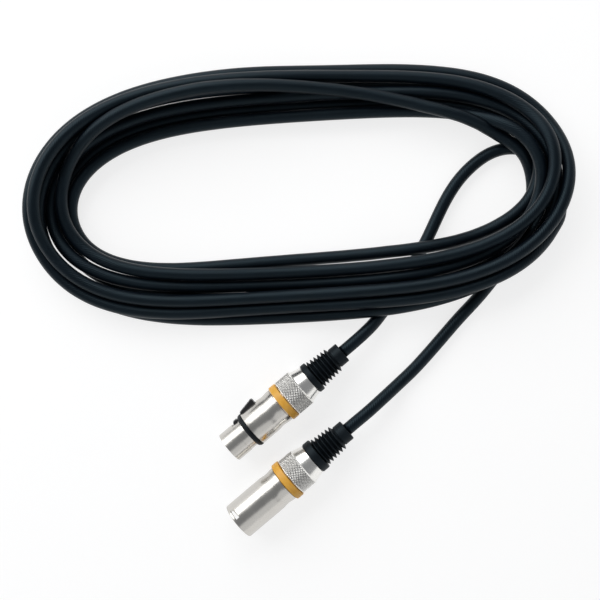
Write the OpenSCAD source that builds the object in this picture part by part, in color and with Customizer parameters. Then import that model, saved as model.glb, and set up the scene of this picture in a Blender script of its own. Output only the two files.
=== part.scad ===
// Microphone cable with a female and a male three-pole connector, put away as an oval coil.
// Millimetres. +X runs from the connectors' mouths to their boots, +Z is up, Z = 0 is the floor.

/* [Cable] */
// Outer diameter of the cable
cord_d = 6.3; // [6:0.1:6.6]
// Play around a lead where it runs in under the coil
lead_play = 0.3; // [0.2:0.05:0.6]
// Diameter of the two insulated cores
core_d = 1.4; // [1.2:0.1:1.5]

/* [Layout] */
// Distance between the two connectors' axes
connector_spacing = 31; // [28:0.5:40]
// How far the male mouth lies ahead of the female nose
connector_stagger = 20.3; // [10:0.1:24]

/* [Contacts] */
// Diameter of the circle that the three contacts sit on
contact_circle_d = 7.62; // [7.4:0.02:7.8]
// Diameter of a male pin, and nominal size of a socket
pin_d = 2.4; // [2.3:0.05:2.5]
// Radial play of a pin in its socket
socket_play = 0.05; // [0.02:0.01:0.1]
// Wall of a socket
socket_wall = 0.5; // [0.4:0.05:0.6]
// Depth of a socket
socket_depth = 14.5; // [12:0.5:15.5]
// Distance from the male mouth to the pin tips
pin_setback = 2.2; // [1:0.1:4]
// Length of a solder cup
cup_length = 3.5; // [3:0.1:4]

/* [Female connector] */
// Length of the slim nose ahead of the gasket
nose_length = 12.25; // [11.5:0.05:13]
// Diameter of the nose
nose_d = 16; // [15.8:0.05:16.2]
// Width of the gasket
gasket_width = 2.5; // [2:0.1:3]
// Diameter of the gasket
gasket_d = 19; // [18.5:0.1:19.6]
// Length of the body behind the gasket
female_body_length = 18.5; // [18:0.1:20]
// Diameter of the body
female_body_d = 18.75; // [18.4:0.05:19]
// Length of the latch tab
tab_length = 9; // [8:0.1:9.5]
// Height of the tab's rear end over the body
tab_rise = 2.6; // [2:0.1:3]
// Height of the tab's front end over the body
tab_front_rise = 1; // [0.6:0.1:1.4]
// Height of the latch hook over the nose
hook_rise = 1; // [0.6:0.1:1.2]
// Width of the latch
latch_width = 5.2; // [4.6:0.1:5.4]
// Diameter of the latch's hinge pin
latch_pin_d = 1; // [0.8:0.1:1.2]
// Diameter of the female coding ring
female_ring_d = 20; // [19.6:0.1:20.6]

/* [Male connector] */
// Length of the male shell up to its coding ring
male_body_length = 30; // [28:0.1:32]
// Diameter of the male shell
male_body_d = 19; // [18.8:0.1:19.4]
// Diameter of the male shell's mouth
mouth_d = 16.3; // [16.2:0.05:16.5]
// Depth of the mouth
mouth_depth = 13; // [12:0.1:14]
// Distance from the mouth to the latch window
window_setback = 1.25; // [1:0.05:2]
// Length of the latch window
window_length = 2.25; // [2:0.05:3]
// Width of the latch window
window_width = 5.5; // [5:0.1:6]
// Roll of the male connector, from the window straight up
male_roll = 32; // [0:1:60]
// Diameter of the male coding ring
male_ring_d = 21; // [20.4:0.1:21.4]

/* [Shells] */
// Width of a coding ring
ring_width = 3.75; // [3.5:0.05:4]
// Gap on each side of a coding ring
ring_gap = 0.25; // [0.2:0.05:0.4]
// Wall of the female coding ring
female_ring_wall = 1.02; // [0.9:0.02:1.2]
// Wall of the male coding ring
male_ring_wall = 1.52; // [1.2:0.02:1.6]
// Length of the shallow waist behind the middle of a shell
waist_length = 8; // [6:0.1:9]
// Depth of the waist
waist_depth = 0.35; // [0.1:0.05:0.5]
// Diameter of a shell's rear bore
rear_bore_d = 15.16; // [15.1:0.02:15.3]
// Radial play between pieces that slide in each other
slide_play = 0.08; // [0.05:0.01:0.1]

/* [Bushings] */
// Diameter of the knurled collar
collar_d = 20; // [19.6:0.1:20]
// Length of the female knurled collar
female_collar_length = 9.25; // [8:0.05:10]
// Length of the male knurled collar
male_collar_length = 8.75; // [8:0.05:10]
// Length of the cone behind a collar
cone_length = 5.5; // [5:0.1:6.5]
// Diameter of the female cone at its front
female_cone_d = 18.5; // [18:0.1:19]
// Diameter of the male cone at its front
male_cone_d = 19.2; // [18.6:0.1:19.4]
// How much a cone narrows on each side
cone_drop = 1.38; // [1:0.02:1.6]
// Length of the threaded spigot inside the shell
spigot_length = 6; // [5.5:0.1:6.5]
// Bore of a bushing
bushing_bore_d = 12.8; // [12.4:0.1:13]

/* [Boots] */
// Diameter of the female boot's flange
female_flange_d = 16.5; // [16:0.1:17]
// Diameter of the male boot's flange
male_flange_d = 17; // [16.4:0.1:17.4]
// Length of the female boot's flange
female_flange_length = 3; // [2.5:0.1:4]
// Length of the male boot's flange
male_flange_length = 4; // [3:0.1:4.5]
// Number of ribs on a boot
rib_count = 6; // [4:1:7]
// Distance from rib to rib
rib_pitch = 2.12; // [2:0.02:2.2]
// Diameter of the first rib
rib_front_d = 15.5; // [15:0.1:16]
// Diameter of the last rib
rib_rear_d = 13.9; // [13:0.1:14.5]
// Depth of the groove between two ribs
rib_depth = 1.9; // [1.2:0.1:2.2]
// Diameter of the smooth collar at the boot's end
boot_collar_d = 10.9; // [10:0.1:11.5]
// Length of the smooth collar
boot_collar_length = 5; // [4:0.1:6]
// Radial play of the cable in a boot
boot_play = 0.15; // [0.1:0.01:0.25]

/* [Hidden] */
$fn = 64;

nickel = "#b9b6ae";
amber = "#e9a93a";
black = "#1b1c20";
gold = "#cfa84e";
copper = "#b8733a";

cord_r = cord_d / 2;
contact_r = contact_circle_d / 2;
pin_r = pin_d / 2;
shank_r = pin_r + 0.2;
socket_r = pin_r + socket_play;
socket_outer_r = socket_r + socket_wall;
rear_bore_r = rear_bore_d / 2;
spigot_r = rear_bore_r - slide_play;
insert_r = rear_bore_r - slide_play;
nose_r = nose_d / 2;
nose_bore_r = nose_r - 1;
gasket_seat_r = nose_r - 0.2;
nose_insert_r = nose_bore_r - slide_play;
female_seat_r = female_ring_d / 2 - female_ring_wall - slide_play;
male_seat_r = male_ring_d / 2 - male_ring_wall - slide_play;
chamfer = 0.4;
over = 1;
insert_gap = 2.5;

// Stations along the female connector, from its nose
gasket_x = nose_length;
female_body_x = gasket_x + gasket_width;
female_body_end = female_body_x + female_body_length;
female_ring_x = female_body_end + 0.5;
female_collar_x = female_ring_x + ring_width + ring_gap;
female_cone_x = female_collar_x + female_collar_length;
female_cone_end = female_cone_x + cone_length;
female_insert_x = 0.6;
female_insert_end = female_collar_x - spigot_length - insert_gap;
female_cup_end = female_insert_end + cup_length;
female_cable_x = female_cup_end + 3;

// Stations along the male connector, from its mouth
male_ring_x = male_body_length + ring_gap;
male_collar_x = male_ring_x + ring_width + ring_gap;
male_cone_x = male_collar_x + male_collar_length;
male_cone_end = male_cone_x + cone_length;
male_insert_end = male_collar_x - spigot_length - insert_gap;
male_cup_end = male_insert_end + cup_length;
male_cable_x = male_cup_end + 3;

// The rear of a boot: flange, ribs and collar, measured from the bushing's end
boot_gap = 0.25;
rib_collar_gap = 0.5;
ribs_length = rib_count * rib_pitch;
female_flange_x = female_cone_end + boot_gap;
male_flange_x = male_cone_end + boot_gap;
female_boot_end = female_flange_x + female_flange_length + ribs_length + rib_collar_gap
    + boot_collar_length;
male_boot_end = male_flange_x + male_flange_length + ribs_length + rib_collar_gap
    + boot_collar_length;

// Latch, seen with its tab up: the hinge pin is behind the tab
latch_pin_r = latch_pin_d / 2;
latch_pivot_x = 27;
latch_pivot_z = 5.4;
bar_top = 7.4;
bar_thickness = 1.1;
neck_top = 7;
bar_front = 8.75;
hook_x = 9.25;
hook_length = 2.5;
tab_x = female_body_x + 0.5;
slot_x = 8.3;
slot_end = tab_x + tab_length + 0.75;
slot_width = latch_width + 0.6;
slot_floor = 4.8;
latch_reach = female_body_d / 2 + tab_rise;

// Places of the two connectors, lying on the floor side by side
total_x = connector_stagger + female_boot_end;
male_tip_x = -total_x / 2;
female_tip_x = male_tip_x + connector_stagger;
female_axis_z = max(female_ring_d, collar_d) / 2;
male_axis_z = max(male_ring_d, collar_d) / 2;
female_axis_y = (connector_spacing + male_ring_d / 2 - latch_reach) / 2;
male_axis_y = female_axis_y - connector_spacing;
female_exit_x = female_tip_x + female_boot_end;
male_exit_x = male_tip_x + male_boot_end;

// Height of the cable's axis where it lies on the floor, flat face down
floor_skin = 0.02;
cord_z = cord_r * cos(30) + floor_skin;

// The coil's outline at eight stations, clockwise from the far right: corner, right end, corner,
// near side, corner, left end, corner, far side. How far in from the oval its outermost and its
// innermost strand run, and how high the strands lie
outer_insets = [0.3, 0.3, 1.2, -1.4, -1.2, 0, 0.7, 0.3];
inner_insets = [27, 23.5, 24.8, 31.5, 22.5, 22.5, 24.6, 24.4];
coil_tops = [25, 32, 26, 18, 19, 22, 27, 22];
stations = len(coil_tops);
coil_rings = 96;
// Middle of the outer oval and its turn in the row frame
oval_x = 82;
oval_y = 89.6;
oval_turn = -40.2;

// Points of the free cable, in the row frame; the first two run straight out of the boot
exit_straight = 7;
female_lead_route = [
    [61.5, 14.9, 9], [68.5, 15.4, 6.6], [75.5, 16.7, 4.2], [82.5, 18.3, cord_z],
    [90, 20.5, cord_z], [100, 24, cord_z], [110.5, 27.8, cord_z], [120, 31.8, cord_z],
    [129, 36, cord_z], [138.5, 40, cord_z], [149, 43, cord_z], [159, 44, cord_z],
    [169, 43, cord_z], [178.5, 39.5, cord_z], [187, 34, cord_z], [193, 27, cord_z]
];
male_lead_route = [
    [38, -16.3, 10.2], [45, -16.3, 8.4], [52.5, -16.3, 5.9], [60, -16.2, 3.8],
    [68, -15.8, cord_z], [78, -14.6, cord_z], [91, -12.6, cord_z], [104, -10.6, cord_z],
    [117, -9, cord_z], [128, -7, cord_z], [137.5, -4.6, cord_z], [144.1, -4.2, cord_z],
    [150.1, -3.6, cord_z]
];

// ---- small helpers ----

// Turns a profile of [radius, station] points about the X axis
module turned(profile) {
    rotate([0, 90, 0]) rotate_extrude() polygon(profile);
}

// A tube along X
module tube(from, to, outer_r, inner_r) {
    turned([[inner_r, from], [outer_r, from], [outer_r, to], [inner_r, to]]);
}

// A rod along X
module rod(from, to, r) {
    translate([from, 0, 0]) rotate([0, 90, 0]) cylinder(h = to - from, r = r);
}

// Contacts 1 and 2 sit side by side and 3 below them, with the latch side up. The female
// connector has 1 and 2 the other way round, so that the two connectors mate.
male_side = 1;
female_side = -1;
function contact_at(n, side) =
    n == 1 ? [side * contact_r, 0] : n == 2 ? [-side * contact_r, 0] : [0, -contact_r];

module at_contact(n, side) {
    translate([0, contact_at(n, side)[0], contact_at(n, side)[1]]) children();
}

// Puts a piece, modelled with its latch side up, in the female connector
module in_female() {
    translate([female_tip_x, female_axis_y, female_axis_z]) rotate([-90, 0, 0]) children();
}

// Puts a piece, modelled with its latch side up, in the male connector
module in_male() {
    translate([male_tip_x, male_axis_y, male_axis_z]) rotate([-male_roll, 0, 0]) children();
}

// Outer profile of a waist between two stations: one smooth dip
function waist(from, r) = [
    for (i = [0 : 12]) [r - waist_depth * (1 - cos(i * 30)) / 2, from + waist_length * i / 12]
];

// ---- pieces that both connectors have ----

// Coding ring with softened edges
module coding_ring(from, d, ring_wall) {
    r = d / 2;
    inner_r = r - ring_wall;
    to = from + ring_width;
    turned([
        [inner_r, from], [r - chamfer, from], [r, from + chamfer],
        [r, to - chamfer], [r - chamfer, to], [inner_r, to]
    ]);
}

// Chuck that grips the cable: a cone with a bore and four slits
module chuck(from, to) {
    front_r = bushing_bore_d / 2 - 0.1;
    rear_r = front_r - 1;
    difference() {
        turned([
            [cord_r + 0.05, from], [front_r, from], [front_r, from + 3],
            [rear_r, to], [cord_r + 0.05, to]
        ]);
        for (a = [45, 135])
            rotate([a, 0, 0])
                translate([from + 3, -0.5, -10])
                    cube([to - from, 1, 20]);
    }
}

// Screwed bushing: spigot inside the shell, knurled collar and cone
module bushing(collar_x, cone_x, cone_end, cone_r) {
    bore_r = bushing_bore_d / 2;
    neck_r = bore_r - 0.5;
    r = collar_d / 2;
    turned([
        [bore_r, collar_x - spigot_length], [spigot_r, collar_x - spigot_length],
        [spigot_r, collar_x], [r - chamfer, collar_x], [r, collar_x + chamfer],
        [r, cone_x - chamfer], [r - chamfer, cone_x], [cone_r, cone_x],
        [cone_r - cone_drop, cone_end], [neck_r, cone_end],
        [neck_r, cone_end - 6], [bore_r, cone_end - 6]
    ]);
}

// Rubber boot: lip and neck inside the bushing, flange, ribs and collar
module boot(cone_end, flange_d, flange_length, boot_end) {
    bore_r = cord_r + boot_play;
    neck_r = bushing_bore_d / 2 - 0.5 - slide_play;
    lip_r = bushing_bore_d / 2 - slide_play;
    lip_x = cone_end - 8;
    flange_x = cone_end + boot_gap;
    ribs_x = flange_x + flange_length;
    collar_x = ribs_x + ribs_length + rib_collar_gap;
    rib_step = (rib_front_d - rib_rear_d) / 2 / (rib_count - 1);
    ribs = [for (i = [0 : rib_count - 1])
        let (top = rib_front_d / 2 - i * rib_step, x = ribs_x + i * rib_pitch)
        each [[top - rib_depth, x], [top - 0.15, x + rib_pitch * 0.45],
            [top - 0.15, x + rib_pitch * 0.6]]
    ];
    core_r = rib_rear_d / 2 - rib_depth;
    turned(concat(
        [[bore_r, lip_x], [lip_r, lip_x], [lip_r, cone_end - 6.2], [neck_r, cone_end - 6.2],
            [neck_r, flange_x], [flange_d / 2 - 0.3, flange_x], [flange_d / 2, flange_x + 0.3],
            [flange_d / 2, ribs_x - 0.5], [flange_d / 2 - 0.5, ribs_x]],
        ribs,
        [[core_r, ribs_x + ribs_length], [core_r, collar_x - 0.2],
            [boot_collar_d / 2, collar_x], [boot_collar_d / 2, boot_end - 0.4],
            [boot_collar_d / 2 - 0.4, boot_end], [bore_r, boot_end]]
    ));
}

// Cable jacket inside the connector, up to the boot's mouth
module cable_end(from, to) {
    color(black) rod(from, to, cord_r);
}

// Insulated core from the cable's end into a solder cup
module core(n, side, cup_end, cable_x, r) {
    cup = contact_at(n, side);
    inner = cup * 1.4 / contact_r;
    soft_tube([
        [cup_end - 2, cup[0], cup[1]], [cup_end + 0.3, cup[0], cup[1]],
        [cable_x - 0.7, inner[0], inner[1]], [cable_x, inner[0], inner[1]]
    ], 8, r, -100);
}

// Spring tab that carries the shell's ground, in a groove at the insert's side
ground_groove_y = 6.7;
ground_thickness = 0.5;
ground_width = 2.4;

module ground_tab(from, to) {
    translate([from, ground_groove_y, -ground_width / 2])
        cube([to - from, ground_thickness, ground_width]);
    translate([(from + to) / 2 - 1, ground_groove_y + ground_thickness, 0])
        rotate([0, 90, 0])
            cylinder(h = 2, r = 0.3);
}

module ground_groove(from, to) {
    translate([from, ground_groove_y, -ground_width / 2 - 0.1])
        cube([to - from, 3, ground_width + 0.2]);
}

// ---- female connector ----

module female_shell() {
    r = female_body_d / 2;
    waist_x = female_body_end - waist_length - 1;
    color(nickel) in_female() difference() {
        turned(concat(
            [[nose_bore_r, 0], [nose_r - chamfer, 0], [nose_r, chamfer], [nose_r, slot_x],
                [gasket_seat_r, slot_x + 0.1], [gasket_seat_r, female_body_x],
                [r - chamfer, female_body_x], [r, female_body_x + chamfer]],
            waist(waist_x, r),
            [[r, female_body_end - chamfer], [r - chamfer, female_body_end],
                [female_seat_r, female_body_end], [female_seat_r, female_collar_x - ring_gap],
                [rear_bore_r, female_collar_x - ring_gap],
                [rear_bore_r, female_body_x], [nose_bore_r, female_body_x]]
        ));
        translate([slot_x, -slot_width / 2, 0])
            cube([slot_end - slot_x, slot_width, 20]);
    }
}

module female_gasket() {
    r = gasket_d / 2;
    inner_r = gasket_seat_r + 0.02;
    to = gasket_x + gasket_width - 0.02;
    color(black) in_female() turned([
        [inner_r, gasket_x], [nose_r + 0.5, gasket_x], [r - 0.2, gasket_x + 0.9],
        [r, gasket_x + 1.3], [r, to - 0.3], [r - 0.3, to], [inner_r, to]
    ]);
}

module female_insert() {
    color(black) in_female() difference() {
        union() {
            rod(female_insert_x, female_body_x + 0.1, nose_insert_r);
            rod(female_body_x + 0.1, female_insert_end, insert_r);
        }
        for (n = [1 : 3]) at_contact(n, female_side) {
            rod(female_insert_x - over, female_insert_x + 1, socket_r + 0.2);
            rod(female_insert_x + 0.5, female_insert_end + over, socket_outer_r + 0.02);
        }
        translate([slot_x - 0.3, -slot_width / 2, slot_floor])
            cube([female_insert_end, slot_width, 10]);
        translate([latch_pivot_x - 1.8, -1.7, slot_floor - 1.4])
            cube([3.6, 3.4, 10]);
        translate([latch_pivot_x, 0, latch_pivot_z])
            rotate([90, 0, 0])
                cylinder(h = 20, r = latch_pin_r, center = true);
        ground_groove(female_body_x + 1, female_insert_end + over);
    }
}

// Socket with a solid waist and a solder cup behind the insert
module female_contact(n) {
    color(gold) in_female() at_contact(n, female_side) difference() {
        union() {
            rod(female_insert_x + 0.5, female_insert_end, socket_outer_r);
            rod(female_insert_end, female_cup_end, socket_outer_r - 0.2);
        }
        rod(-over, female_insert_x + 0.5 + socket_depth, socket_r);
        rod(female_cup_end - 2.8, female_cup_end + over, core_d / 2 + 0.1);
    }
}

module female_contact_1() {
    female_contact(1);
}

module female_contact_2() {
    female_contact(2);
}

module female_contact_3() {
    female_contact(3);
}

module female_ground_contact() {
    color(gold) in_female() ground_tab(female_body_x + 2, female_insert_end + 2);
}

// Latch: bar under the gasket, hook on the nose, ramped thumb tab and hinge lug
module female_latch() {
    r = female_body_d / 2;
    bar_bottom = bar_top - bar_thickness;
    color(black) in_female() difference() {
        union() {
            translate([bar_front, -latch_width / 2, bar_bottom])
                cube([tab_x + tab_length - bar_front, latch_width, bar_thickness]);
            translate([tab_x + 2, -1.5, bar_bottom])
                cube([latch_pivot_x + 1 - tab_x - 2, 3, neck_top - bar_bottom]);
            rotate([90, 0, 0])
                linear_extrude(latch_width, center = true)
                    polygon([
                        [hook_x, bar_top - 0.2], [hook_x, nose_r + 0.2],
                        [hook_x + 0.9, nose_r + hook_rise], [hook_x + hook_length, nose_r + hook_rise],
                        [hook_x + hook_length, bar_top - 0.2]
                    ]);
            rotate([90, 0, 0])
                linear_extrude(latch_width, center = true)
                    polygon([
                        [tab_x, bar_top - 0.2], [tab_x, r + tab_front_rise - 0.3],
                        [tab_x + 0.3, r + tab_front_rise],
                        [tab_x + tab_length - 0.8, r + tab_rise],
                        [tab_x + tab_length, r + tab_rise - 0.6],
                        [tab_x + tab_length, bar_top - 0.2]
                    ]);
            translate([latch_pivot_x - 1, -1.5, latch_pivot_z - 1.1])
                cube([2, 3, bar_bottom - latch_pivot_z + 1.3]);
        }
        translate([latch_pivot_x, 0, latch_pivot_z])
            rotate([90, 0, 0])
                cylinder(h = 20, r = latch_pin_r + 0.06, center = true);
    }
}

module female_latch_pin() {
    color(nickel) in_female()
        translate([latch_pivot_x, 0, latch_pivot_z])
            rotate([90, 0, 0])
                cylinder(h = 7.2, r = latch_pin_r, center = true);
}

// Leaf spring that lies in the slot below the bar
module female_latch_spring() {
    color(nickel) in_female()
        rotate([90, 0, 0])
            linear_extrude(2.4, center = true)
                polygon([
                    [14, slot_floor], [16.5, slot_floor], [20.2, slot_floor + 0.6],
                    [20.6, slot_floor + 0.6], [20.6, slot_floor + 0.8], [20.1, slot_floor + 0.8],
                    [16.4, slot_floor + 0.2], [14, slot_floor + 0.2]
                ]);
}

module female_coding_ring() {
    color(amber) in_female() coding_ring(female_ring_x, female_ring_d, female_ring_wall);
}

module female_chuck() {
    color("#e8e6df") in_female() chuck(female_cable_x + 1, female_cone_end - 8.5);
}

module female_bushing() {
    color(nickel) in_female()
        bushing(female_collar_x, female_cone_x, female_cone_end, female_cone_d / 2);
}

module female_boot() {
    color(black) in_female()
        boot(female_cone_end, female_flange_d, female_flange_length, female_boot_end);
}

module female_cable_end() {
    in_female() cable_end(female_cable_x, female_boot_end);
}

module female_core_hot() {
    color("#a8302c") in_female() core(2, female_side, female_cup_end, female_cable_x, core_d / 2);
}

module female_core_cold() {
    color("#dcdad2") in_female() core(3, female_side, female_cup_end, female_cable_x, core_d / 2);
}

module female_shield_drain() {
    color(copper) in_female() core(1, female_side, female_cup_end, female_cable_x, core_d / 2 - 0.2);
}

// ---- male connector ----

module male_shell() {
    r = male_body_d / 2;
    waist_x = male_body_length - waist_length - 0.75;
    color(nickel) in_male() difference() {
        turned(concat(
            [[mouth_d / 2, 0], [r - 0.5, 0], [r - 0.15, 0.15], [r, 0.5]],
            waist(waist_x, r),
            [[r, male_body_length - chamfer], [r - chamfer, male_body_length],
                [male_seat_r, male_body_length], [male_seat_r, male_collar_x - ring_gap],
                [rear_bore_r, male_collar_x - ring_gap],
                [rear_bore_r, mouth_depth], [mouth_d / 2, mouth_depth]]
        ));
        translate([window_setback, -window_width / 2, 0])
            cube([window_length, window_width, 20]);
    }
}

module male_insert() {
    color(black) in_male() difference() {
        rod(mouth_depth, male_insert_end, insert_r);
        for (n = [1 : 3]) at_contact(n, male_side)
            rod(mouth_depth - over, male_insert_end + over, shank_r + 0.02);
        ground_groove(mouth_depth + 2, male_insert_end + over);
    }
}

// Pin with a rounded tip and a solder cup behind the insert
module male_pin(n) {
    color(gold) in_male() at_contact(n, male_side) difference() {
        union() {
            rod(pin_setback + 0.6, mouth_depth, pin_r);
            rod(mouth_depth, male_insert_end, shank_r);
            turned([
                [0, pin_setback], [pin_r - 0.6, pin_setback], [pin_r - 0.2, pin_setback + 0.2],
                [pin_r, pin_setback + 0.6], [0, pin_setback + 0.6]
            ]);
            rod(male_insert_end, male_cup_end, pin_r + 0.35);
        }
        rod(male_cup_end - 2.8, male_cup_end + over, core_d / 2 + 0.1);
    }
}

module male_pin_1() {
    male_pin(1);
}

module male_pin_2() {
    male_pin(2);
}

module male_pin_3() {
    male_pin(3);
}

module male_ground_contact() {
    color(gold) in_male() ground_tab(mouth_depth + 3, male_insert_end + 2);
}

module male_coding_ring() {
    color(amber) in_male() coding_ring(male_ring_x, male_ring_d, male_ring_wall);
}

module male_chuck() {
    color("#e8e6df") in_male() chuck(male_cable_x + 1, male_cone_end - 8.5);
}

module male_bushing() {
    color(nickel) in_male()
        bushing(male_collar_x, male_cone_x, male_cone_end, male_cone_d / 2);
}

module male_boot() {
    color(black) in_male()
        boot(male_cone_end, male_flange_d, male_flange_length, male_boot_end);
}

module male_cable_end() {
    in_male() cable_end(male_cable_x, male_boot_end);
}

module male_core_hot() {
    color("#a8302c") in_male() core(2, male_side, male_cup_end, male_cable_x, core_d / 2);
}

module male_core_cold() {
    color("#dcdad2") in_male() core(3, male_side, male_cup_end, male_cable_x, core_d / 2);
}

module male_shield_drain() {
    color(copper) in_male() core(1, male_side, male_cup_end, male_cable_x, core_d / 2 - 0.2);
}

// ---- cable ----

function sum(list, i = 0) = i < len(list) ? list[i] + sum(list, i + 1) : 0;
function unit(v) = v / norm(v);

// Value of a list of stations at a share w of the way round, read off in straight lines
function read_around(list, w) =
    let (s = (w - floor(w)) * stations, i = floor(s))
    list[i] + (list[(i + 1) % stations] - list[i]) * (s - i);

// The same, averaged over an eighth of the way round so that it runs smoothly
function around(list, w) = sum([for (k = [-3 : 3]) read_around(list, w + k / 48)]) / 7;

// Outer oval at angle t: an ellipse with squared corners, leaning one way
function oval(t) = [
    133 * cos(t) + 2.6 * cos(3 * t) - 1.3 * sin(3 * t),
    67.4 * sin(t) + 9 * cos(t) + 1.2 * cos(3 * t) + 6.2 * sin(3 * t)
];
function oval_run(t) = [
    -133 * sin(t) - 7.8 * sin(3 * t) - 3.9 * cos(3 * t),
    67.4 * cos(t) - 9 * sin(t) - 3.6 * sin(3 * t) + 18.6 * cos(3 * t)
];

// Point in the row frame, so far in from the oval at a share w of the way round, at height z
function coil_point(w, inset, z) =
    let (
        t = 45 - 360 * w,
        run = unit(oval_run(t)),
        p = oval(t) + inset * [-run[1], run[0]]
    )
    [
        oval_x + p[0] * cos(oval_turn) - p[1] * sin(oval_turn),
        oval_y + p[0] * sin(oval_turn) + p[1] * cos(oval_turn),
        z
    ];

// Cross-section of the piled strands, in shares of its width and height: upright sides, round top
pile_section = [
    [0, 0], [0, 0.5], [0.06, 0.74], [0.22, 0.94], [0.5, 1], [0.78, 0.94], [0.94, 0.74], [1, 0.5],
    [1, 0]
];
function pile_ring(w) =
    let (
        outer = around(outer_insets, w) - cord_r,
        inner = around(inner_insets, w) + cord_r,
        top = around(coil_tops, w)
    )
    [for (p = pile_section)
        coil_point(w, outer + p[0] * (inner - outer), floor_skin + p[1] * (top - floor_skin))];

// Whole route of each free lead, from its boot to its end under the coil
female_lead_points = concat(
    [[female_exit_x, female_axis_y, female_axis_z],
        [female_exit_x + exit_straight, female_axis_y, female_axis_z]],
    female_lead_route
);
male_lead_points = concat(
    [[male_exit_x, male_axis_y, male_axis_z],
        [male_exit_x + exit_straight, male_axis_y, male_axis_z]],
    male_lead_route
);

// A tube of so many sides along points, flat side down, its underside cut flat at a floor
module soft_tube(points, sides, r, floor_z) {
    n = len(points);
    rings = [
        for (i = [0 : n - 1])
            let (
                run = unit(points[min(i + 1, n - 1)] - points[max(i - 1, 0)]),
                side = unit(cross([0, 0, 1], run)),
                up = cross(run, side)
            )
            [for (k = [0 : sides - 1])
                let (
                    a = 360 * k / sides + (sides == 8 ? 22.5 : 0),
                    p = points[i] + r * (cos(a) * side + sin(a) * up)
                )
                [p[0], p[1], max(p[2], floor_z)]]
    ];
    walls = [
        for (i = [0 : n - 2], k = [0 : sides - 1])
            let (a = i * sides + k, b = i * sides + (k + 1) % sides)
            each [[a, a + sides, b], [b, a + sides, b + sides]]
    ];
    caps = concat(
        [for (k = [1 : sides - 2]) [0, k, k + 1]],
        [for (k = [1 : sides - 2]) [(n - 1) * sides, (n - 1) * sides + k + 1, (n - 1) * sides + k]]
    );
    polyhedron(points = [for (ring = rings) each ring], faces = concat(walls, caps));
}

// The piled strands as one closed ring, with a way in for each lead
module cable_coil() {
    sides = len(pile_section);
    points = [for (i = [0 : coil_rings - 1]) each pile_ring(i / coil_rings)];
    faces = [
        for (i = [0 : coil_rings - 1], k = [0 : sides - 1])
            let (
                next = (i + 1) % coil_rings,
                a = i * sides + k, b = i * sides + (k + 1) % sides,
                c = next * sides + k, d = next * sides + (k + 1) % sides
            )
            each [[a, b, c], [b, d, c]]
    ];
    color(black) difference() {
        polyhedron(points = points, faces = faces);
        for (route = [female_lead_points, male_lead_points]) {
            soft_tube(route, 8, cord_r + lead_play, -over);
            soft_tube([for (p = route) [p[0], p[1], cord_z]], 8, cord_r + lead_play, -over);
        }
    }
}

module female_lead() {
    color(black) soft_tube(female_lead_points, 8, cord_r, floor_skin);
}

module male_lead() {
    color(black) soft_tube(male_lead_points, 8, cord_r, floor_skin);
}

female_shell();
female_gasket();
female_insert();
female_contact_1();
female_contact_2();
female_contact_3();
female_ground_contact();
female_latch();
female_latch_pin();
female_latch_spring();
female_coding_ring();
female_chuck();
female_bushing();
female_boot();
female_cable_end();
female_core_hot();
female_core_cold();
female_shield_drain();
male_shell();
male_insert();
male_pin_1();
male_pin_2();
male_pin_3();
male_ground_contact();
male_coding_ring();
male_chuck();
male_bushing();
male_boot();
male_cable_end();
male_core_hot();
male_core_cold();
male_shield_drain();
cable_coil();
female_lead();
male_lead();
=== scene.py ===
"""Microphone cable with a female and a male three-pole connector, put away as an oval coil."""

import math

import bpy
import numpy as np
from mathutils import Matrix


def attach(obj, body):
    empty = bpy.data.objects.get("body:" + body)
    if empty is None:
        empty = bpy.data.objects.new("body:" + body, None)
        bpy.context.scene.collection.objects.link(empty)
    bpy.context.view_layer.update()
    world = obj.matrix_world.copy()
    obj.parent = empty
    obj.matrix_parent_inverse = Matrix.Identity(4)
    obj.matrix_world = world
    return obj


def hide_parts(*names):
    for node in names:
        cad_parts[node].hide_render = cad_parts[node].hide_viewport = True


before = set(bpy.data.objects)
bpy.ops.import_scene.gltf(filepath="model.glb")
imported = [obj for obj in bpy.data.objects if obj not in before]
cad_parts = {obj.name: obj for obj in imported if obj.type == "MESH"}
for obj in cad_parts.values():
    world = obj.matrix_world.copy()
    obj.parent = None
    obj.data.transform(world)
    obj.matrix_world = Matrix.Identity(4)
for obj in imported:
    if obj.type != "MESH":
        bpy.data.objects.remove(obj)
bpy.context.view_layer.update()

MM = 0.001

# ---------------------------------------------------------------- sizes, in millimetres

CORD_R = 3.15
LAY_PITCH = 6.7
CONTACT_CIRCLE_R = 3.81
MALE_ROLL = math.radians(32)

# Where each connector's outer pieces start or end, measured from its own tip
FEMALE_GASKET_X, FEMALE_LATCH_REAR = 12.25, 24.25
FEMALE_RING_X, FEMALE_COLLAR_X, FEMALE_CONE_X, FEMALE_CONE_END = 33.75, 37.75, 47.0, 52.5
MALE_RING_X, MALE_COLLAR_X, MALE_CONE_X, MALE_CONE_END = 30.25, 34.25, 43.0, 48.5
FEMALE_BOOT_END = 73.97
MALE_BOOT_END = 70.97

# Radii that neighbouring pieces share
NOSE_R, NOSE_REAR_R, NOSE_BORE_R = 8, 7.8, 7
FEMALE_BODY_R = 9.375
MALE_BODY_R, MOUTH_R = 9.5, 8.15
SEAT_R, SHELL_BORE_R = 8.9, 7.58
COLLAR_R, COLLAR_EDGE = 10.0, 0.35
BUSHING_BORE_R, BUSHING_NECK_R, SPIGOT_R = 6.4, 5.9, 7.5
BOOT_BORE_R, BOOT_COLLAR_R = 3.3, 5.45

# The knurl: grooves round the collar each way, their depth and pitch, mesh steps to a pitch,
# and how far in from the collar's edges it reaches its full depth
KNURL_COUNT, KNURL_DEPTH = 54, 0.35
KNURL_PITCH = 2 * math.pi * COLLAR_R / KNURL_COUNT
KNURL_STEPS, KNURL_FADE = 8, 0.4

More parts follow.
